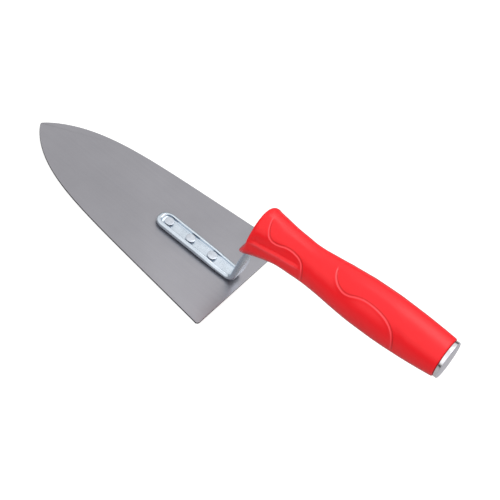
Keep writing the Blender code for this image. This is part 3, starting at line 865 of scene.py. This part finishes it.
def pocket_cutter():
    """Pocket that follows the neck and the tang."""
    stations = [NECK_START + SLOT_START, BEND2_START]
    stations += [BEND2_START + BEND2_LEN * i / 16 for i in range(1, 17)]
    stations += [TANG_START + (TANG_LEN + POCKET_EXTRA) * i / 12 for i in range(1, 13)]
    low, high = -POCKET_UNDER, LIP + POCKET_OVER
    verts = []
    for along in stations:
        half = min(SLOT_HALF, shank_half_width(along) + POCKET_SIDE)
        verts += [path_point(along, y, height) for y, height in
                  ((half, low), (half, high), (-half, high), (-half, low))]
    return new_object("cutter", verts, closed_tube_faces(len(stations), 4))


def bore_cutter():
    """Round bore in the rear end for the cap's plug."""
    radius, start, end = PLUG_R + GAP, GRIP_END - PLUG_LEN - 1.0, GRIP_END + 2.0
    profile = [(0.0, start), (radius, start), (radius, end), (0.0, end)]
    return new_object("cutter", *lathe(profile, 96, cap_axis_point))


def add_grip_attributes(grip, skin, crest_highlight, foot):
    """Carries the weights of the painted crest highlight and foot shade over to the cut mesh."""
    points = skin.reshape(-1, 3)
    tree = KDTree(len(points))
    for i, point in enumerate(points):
        tree.insert(Vector(point), i)
    tree.balance()
    heel = Vector((HEEL_X, 0, 0))
    found = [tree.find((vert.co - heel) / MM) for vert in grip.data.vertices]
    # vertices made by the cuts lie off the skin and get no weight
    for name, weights in (("step_crest_highlight", crest_highlight), ("step_foot_shade", foot)):
        layer = grip.data.attributes.new(name, "FLOAT", "POINT")
        layer.data.foreach_set("value", [
            float(min(weights[i], 1.0)) if distance < 0.05 else 0.0
            for _, i, distance in found])


def build_grip():
    stations = grip_ring_stations()
    theta = grip_ring_angles(stations)
    station = np.repeat(stations[:, None], GRIP_AROUND, axis=1)
    plain = grip_surface(station, theta)
    relief, crest_highlight, foot = grip_relief(plain, station, theta)
    skin = plain + relief.reshape(theta.shape)[..., None] * grip_normals(plain, station)
    grip = new_object("grip_moulding", *grip_shell(skin), 40.0)
    subtract(grip, [slot_cutter(), pocket_cutter(), bore_cutter()], 40.0, slivers=True)
    add_grip_attributes(grip, skin, crest_highlight, foot)
    return grip


# ---- end cap -------------------------------------------------------------

def build_cap():
    """Round button with a hollow plug that reaches into the handle."""
    seat, top = GRIP_END + GAP, GRIP_END + CAP_STANDOFF
    plug_end = seat - PLUG_LEN
    bore = PLUG_R - PLUG_WALL
    profile = [(0.0, top - 1.6), (bore - 0.3, top - 1.6), (bore, top - 1.9),
               (bore, plug_end + 0.2), (bore + 0.2, plug_end), (PLUG_R - 0.5, plug_end),
               (PLUG_R, plug_end + 0.9), (PLUG_R, seat - 0.3), (PLUG_R + 0.3, seat),
               (CAP_R - CAP_SEAT_ROUND, seat)]
    profile += arc(CAP_R - CAP_SEAT_ROUND, seat + CAP_SEAT_ROUND, CAP_SEAT_ROUND, -60, 0, 4)
    profile += arc(CAP_R - CAP_TOP_ROUND, top - CAP_TOP_ROUND, CAP_TOP_ROUND, 0, 90, 12)
    profile += [(CAP_R - 1.6, top), (CAP_R * 0.6, top), (CAP_R * 0.3, top), (0.0, top)]
    return new_object("cap_button", *lathe(profile, 160, cap_axis_point), 50.0)


# ---- node helpers --------------------------------------------------------

def add_node(tree, kind, inputs=None, **settings):
    """Adds a node; each input is a value or the socket to link from."""
    node = tree.nodes.new(kind)
    for key, value in settings.items():
        setattr(node, key, value)
    connect(tree, node, inputs or {})
    return node


def connect(tree, node, inputs):
    for key, value in inputs.items():
        if isinstance(value, bpy.types.NodeSocket):
            tree.links.new(value, node.inputs[key])
        else:
            node.inputs[key].default_value = value


def remap(tree, value, span, to, **settings):
    """Maps value from the span to another, clamped."""
    node = add_node(tree, "ShaderNodeMapRange", {
        "From Min": span[0], "From Max": span[1], "To Min": to[0], "To Max": to[1],
        "Value": value}, **settings)
    return node.outputs["Result"]


def srgb(red, green, blue):
    def linear(level):
        level /= 255.0
        return level / 12.92 if level <= 0.04045 else ((level + 0.055) / 1.055) ** 2.4
    return (linear(red), linear(green), linear(blue), 1.0)


class Nodes:
    """Small helper to write material node trees in a few lines."""

    def __init__(self, name):
        self.mat = bpy.data.materials.new(name)
        self.mat.use_nodes = True
        self.tree = self.mat.node_tree
        self.coord = self.add("ShaderNodeTexCoord").outputs["Object"]

    def add(self, kind, inputs=None, **settings):
        return add_node(self.tree, kind, inputs, **settings)

    def noise(self, scale=1.0, detail=3.0, rough=0.5, distortion=0.0, stretch=None):
        """Noise in object space; stretch scales x, y and z apart."""
        vector = self.coord
        if stretch:
            vector = self.add("ShaderNodeMapping", {
                "Scale": stretch, "Vector": vector}).outputs["Vector"]
        return self.add("ShaderNodeTexNoise", {
            "Scale": scale, "Detail": detail, "Roughness": rough,
            "Distortion": distortion, "Vector": vector}).outputs["Fac"]

    def span(self, value, span=(0.3, 0.7), to=(0.0, 1.0)):
        """Remaps value; the default span is that of a noise."""
        return remap(self.tree, value, span, to)

    def math(self, operation, first, second):
        return self.add("ShaderNodeMath", {0: first, 1: second},
                        operation=operation).outputs[0]

    def mix(self, factor, first, second):
        return self.add("ShaderNodeMix", {0: factor, 6: first, 7: second},
                        data_type="RGBA").outputs[2]

    def tint(self, color, tint, by, span=(0.3, 0.7), to=(0.0, 1.0)):
        """Mixes a tint in where the by socket, remapped, is high."""
        return self.mix(self.span(by, span, to), color, tint)

    def bump(self, height, distance, strength, normal=None):
        inputs = {"Strength": strength, "Distance": distance, "Height": height}
        if normal is not None:
            inputs["Normal"] = normal
        return self.add("ShaderNodeBump", inputs).outputs["Normal"]

    def geometry(self, output):
        return self.add("ShaderNodeNewGeometry").outputs[output]

    def finish(self, color, rough, normal, metal=1.0, **others):
        """Fills the shader; others are its input names with underscores."""
        inputs = {"Base Color": color, "Roughness": rough, "Metallic": metal,
                  "Normal": normal}
        inputs.update({key.replace("_", " "): value for key, value in others.items()})
        connect(self.tree, self.tree.nodes["Principled BSDF"], inputs)
        return self.mat


# ---- materials -----------------------------------------------------------

def steel_blade():
    n = Nodes("blade_rolled_steel")
    cloud = n.noise(scale=18.0, detail=4.0, rough=0.55)
    streak = n.noise(detail=5.0, rough=0.6, stretch=(18.0, 520.0, 300.0))
    grain = n.noise(scale=1300.0, detail=2.0)
    color = n.tint(srgb(148, 147, 152), srgb(154, 153, 158), by=cloud)
    color = n.tint(color, srgb(136, 135, 141), by=streak, span=(0.4, 0.75), to=(0.0, 0.22))
    color = n.tint(color, srgb(166, 165, 170), by=grain, span=(0.3, 0.75), to=(0.0, 0.12))
    # painted dark reflection: the sheet's upright edges are painted near black
    split = n.add("ShaderNodeSeparateXYZ", {0: n.geometry("True Normal")})
    level = n.math("ABSOLUTE", split.outputs["Z"], 0.0)
    color = n.tint(color, srgb(40, 38, 42), by=level, span=(0.45, 0.9), to=(0.85, 0.0))
    rough = n.math("ADD", n.span(cloud, to=(0.31, 0.37)), n.span(streak, to=(-0.02, 0.03)))
    normal = n.bump(streak, distance=0.000010, strength=0.5)
    normal = n.bump(grain, distance=0.000008, strength=0.6, normal=normal)
    return n.finish(color, rough, normal)


def zinc_shank():
    n = Nodes("shank_zinc_plate")
    cloud = n.noise(scale=110.0, distortion=0.4)
    brushed = n.noise(detail=4.0, rough=0.6, stretch=(60.0, 700.0, 160.0))
    pits = n.noise(scale=1700.0, detail=2.0)
    color = n.tint(srgb(196, 206, 216), srgb(209, 218, 227), by=cloud)
    color = n.tint(color, srgb(184, 196, 208), by=brushed, span=(0.45, 0.8), to=(0.0, 0.25))
    # paler on the raised edges
    color = n.tint(color, srgb(236, 241, 245), by=n.geometry("Pointiness"),
                   span=(0.53, 0.62), to=(0.0, 0.5))
    rough = n.math("ADD", n.span(cloud, to=(0.22, 0.30)), n.span(brushed, to=(-0.02, 0.04)))
    normal = n.bump(brushed, distance=0.000003, strength=0.3)
    normal = n.bump(pits, distance=0.0000005, strength=0.25, normal=normal)
    return n.finish(color, rough, normal)


def zinc_rivet():
    n = Nodes("rivet_zinc_plate")
    cloud = n.noise(scale=420.0, rough=0.55)
    pits = n.noise(scale=1500.0, rough=0.6)
    color = n.tint(srgb(190, 196, 205), srgb(203, 209, 217), by=cloud)
    color = n.tint(color, srgb(172, 179, 191), by=pits, span=(0.55, 0.8), to=(0.0, 0.3))
    rough = n.span(cloud, to=(0.26, 0.36))
    normal = n.bump(cloud, distance=0.00003, strength=0.5)
    normal = n.bump(pits, distance=0.000002, strength=0.5, normal=normal)
    return n.finish(color, rough, normal)


def red_plastic():
    n = Nodes("grip_satin_plastic")
    cloud = n.noise(scale=30.0, detail=4.0, rough=0.55)
    flow = n.noise(detail=4.0, rough=0.6, distortion=0.8, stretch=(40.0, 150.0, 150.0))
    grain = n.noise(scale=2000.0, rough=0.6)
    peel = n.noise(scale=420.0)
    color = n.tint(srgb(252, 8, 22), srgb(255, 13, 28), by=cloud)
    color = n.tint(color, srgb(240, 7, 20), by=flow, span=(0.4, 0.72), to=(0.0, 0.30))
    color = n.tint(color, srgb(250, 80, 88), by=grain, span=(0.6, 0.8), to=(0.0, 0.08))
    # painted shade: the steps are darker in the crevice at their foot; painted highlight: paler
    # along their crest
    for name, shade in (("step_foot_shade", srgb(176, 0, 12)), ("step_crest_highlight", srgb(255, 112, 122))):
        weight = n.add("ShaderNodeAttribute", attribute_name=name)
        color = n.mix(weight.outputs["Fac"], color, shade)
    # painted shade: the skin is darkened where it turns away from the view, towards its outline
    turn = n.add("ShaderNodeLayerWeight", {"Blend": 0.5})
    color = n.tint(color, srgb(150, 0, 18), by=turn.outputs["Facing"],
                   span=(0.62, 1.0), to=(0.0, 0.75))
    rough = n.math("ADD", n.span(cloud, to=(0.34, 0.42)), n.span(grain, to=(-0.03, 0.05)))
    normal = n.bump(peel, distance=0.00002, strength=0.5)
    normal = n.bump(grain, distance=0.000008, strength=0.6, normal=normal)
    return n.finish(color, rough, normal, metal=0.0, Specular_IOR_Level=0.44,
                    Subsurface_Weight=0.04, Subsurface_Scale=0.002)


def cap_plate():
    """Polished edge and back, matt outer face."""
    n = Nodes("cap_plated_steel")
    dot = n.add("ShaderNodeVectorMath", {0: n.geometry("True Normal"), 1: tuple(AXIS_DIR)},
                operation="DOT_PRODUCT")
    face = n.span(dot.outputs["Value"], span=(0.18, 0.42))
    cloud = n.noise(scale=260.0, rough=0.55)
    grain = n.noise(scale=1900.0, rough=0.6)
    side = n.tint(srgb(222, 223, 226), srgb(236, 237, 240), by=cloud)
    flat = n.tint(srgb(236, 234, 243), srgb(246, 244, 251), by=cloud)
    flat = n.tint(flat, srgb(222, 220, 231), by=grain, span=(0.5, 0.8), to=(0.0, 0.25))
    color = n.mix(face, side, flat)
    rough = n.math("ADD", n.span(face, span=(0.0, 1.0), to=(0.10, 0.46)),
                   n.span(cloud, to=(-0.02, 0.04)))
    normal = n.bump(grain, distance=0.00001, strength=0.5)
    return n.finish(color, rough, normal)


# ---- studio --------------------------------------------------------------

def emit_by_ray(tree, output_kind, unseen, seen):
    """Outputs the seen shader to camera rays and the unseen one to the rest."""
    path = add_node(tree, "ShaderNodeLightPath")
    pick = add_node(tree, "ShaderNodeMixShader", {
        0: path.outputs["Is Camera Ray"], 1: unseen.outputs[0], 2: seen.outputs[0]})
    add_node(tree, output_kind, {"Surface": pick.outputs[0]})


def floor_material():
    """To the camera the floor is near white with a faint soft shadow. What the
    trowel sees of it is a grey sweep that falls off to dark with distance."""
    mat = bpy.data.materials.new("floor_white")
    mat.use_nodes = True
    tree = mat.node_tree
    tree.nodes.clear()
    glow = add_node(tree, "ShaderNodeEmission", {"Color": (1, 1, 1, 1), "Strength": 0.62})
    lit = add_node(tree, "ShaderNodeBsdfDiffuse", {"Color": (0.5, 0.5, 0.5, 1)})
    seen = add_node(tree, "ShaderNodeAddShader", {0: glow.outputs[0], 1: lit.outputs[0]})
    coord = add_node(tree, "ShaderNodeTexCoord")
    length = add_node(tree, "ShaderNodeVectorMath", {0: coord.outputs["Object"]},
                      operation="LENGTH")
    grey = remap(tree, length.outputs["Value"], span=(0.15, 0.8), to=(0.42, 0.02),
                 interpolation_type="SMOOTHSTEP")
    sweep = add_node(tree, "ShaderNodeBsdfDiffuse", {"Color": grey})
    emit_by_ray(tree, "ShaderNodeOutputMaterial", unseen=sweep, seen=seen)
    return mat


def build_floor():
    half = 6.0
    mesh = bpy.data.meshes.new("floor")
    corners = [(-half, -half, 0), (half, -half, 0), (half, half, 0), (-half, half, 0)]
    mesh.from_pydata(corners, [], [(0, 1, 2, 3)])
    floor = bpy.data.objects.new("floor", mesh)
    floor.location = (0, 0, -0.0002)
    bpy.context.scene.collection.objects.link(floor)
    mesh.materials.append(floor_material())


def build_world():
    """A tent of light: bright overhead, darker towards the horizon, brighter and
    reaching lower on the near side."""
    world = bpy.data.worlds.new("studio")
    bpy.context.scene.world = world
    world.use_nodes = True
    tree = world.node_tree
    tree.nodes.clear()

    def combine(operation, first, second):
        return add_node(tree, "ShaderNodeMath", {0: first, 1: second},
                        operation=operation).outputs[0]

    coord = add_node(tree, "ShaderNodeTexCoord")
    split = add_node(tree, "ShaderNodeSeparateXYZ", {0: coord.outputs["Generated"]})
    near = remap(tree, split.outputs["Y"], span=(0.05, 0.7), to=(0.0, 0.05),
                 interpolation_type="SMOOTHSTEP")
    rise = remap(tree, combine("ADD", split.outputs["Z"], near), span=(0.0, 0.42),
                 to=(0.10, 1.0), interpolation_type="SMOOTHSTEP")
    side = remap(tree, split.outputs["Y"], span=(-0.7, 0.7), to=(0.95, 1.24))
    tent = add_node(tree, "ShaderNodeBackground", {
        "Color": (1, 1, 1, 1), "Strength": combine("MULTIPLY", rise, side)})
    pale = add_node(tree, "ShaderNodeBackground", {
        "Color": (0.95, 0.95, 0.95, 1), "Strength": 1.0})
    emit_by_ray(tree, "ShaderNodeOutputWorld", unseen=tent, seen=pale)


def build_key_light():
    """Large soft light above the far side, aimed at the heel of the frame."""
    light = bpy.data.lights.new("key", "AREA")
    light.shape = "RECTANGLE"
    light.size = light.size_y = 0.9
    light.energy = 6.0
    key = bpy.data.objects.new("key", light)
    bpy.context.scene.collection.objects.link(key)
    place = Vector((-0.35, -0.55, 1.2))
    key.location = place
    key.rotation_euler = (-place).to_track_quat("-Z", "Y").to_euler()


def build_camera():
    """Looks down from the near side, set by its own axes and its place."""
    lens = bpy.data.cameras.new("camera")
    lens.sensor_width = 36.0
    lens.sensor_fit = "HORIZONTAL"
    lens.lens = 86.4
    lens.clip_start = 0.02
    camera = bpy.data.objects.new("camera", lens)
    bpy.context.scene.collection.objects.link(camera)
    right = Vector((-0.7642305, -0.5934728, 0.2524713))
    up = Vector((0.6039154, -0.5211109, 0.6031000))
    back = Vector((-0.2263579, 0.6133787, 0.7566562))
    pose = Matrix((right, up, back)).transposed().to_4x4()
    pose.translation = Vector((-0.166514, 0.462425, 0.603831)) + Vector((HEEL_X, 0, 0))
    camera.matrix_world = pose
    bpy.context.scene.camera = camera


# ---- assembly ------------------------------------------------------------

def finish_piece(obj, node, mat):
    obj.data.materials.clear()
    obj.data.materials.append(mat)
    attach(obj, "root")
    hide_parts(node)


finish_piece(build_blade(), "blade", steel_blade())
finish_piece(build_shank(), "shank", zinc_shank())
rivet_mat = zinc_rivet()
for place, rivet_x, phase in zip(("front", "middle", "rear"), RIVET_X, (0.4, 2.1, 4.4)):
    finish_piece(build_rivet("rivet_head_" + place, rivet_x, phase),
                 "rivet_" + place, rivet_mat)
finish_piece(build_grip(), "handle_grip", red_plastic())
finish_piece(build_cap(), "end_cap", cap_plate())

view = bpy.context.scene.view_settings
view.view_transform = "Standard"
view.look = "None"
build_floor()
build_world()
build_key_light()
build_camera()
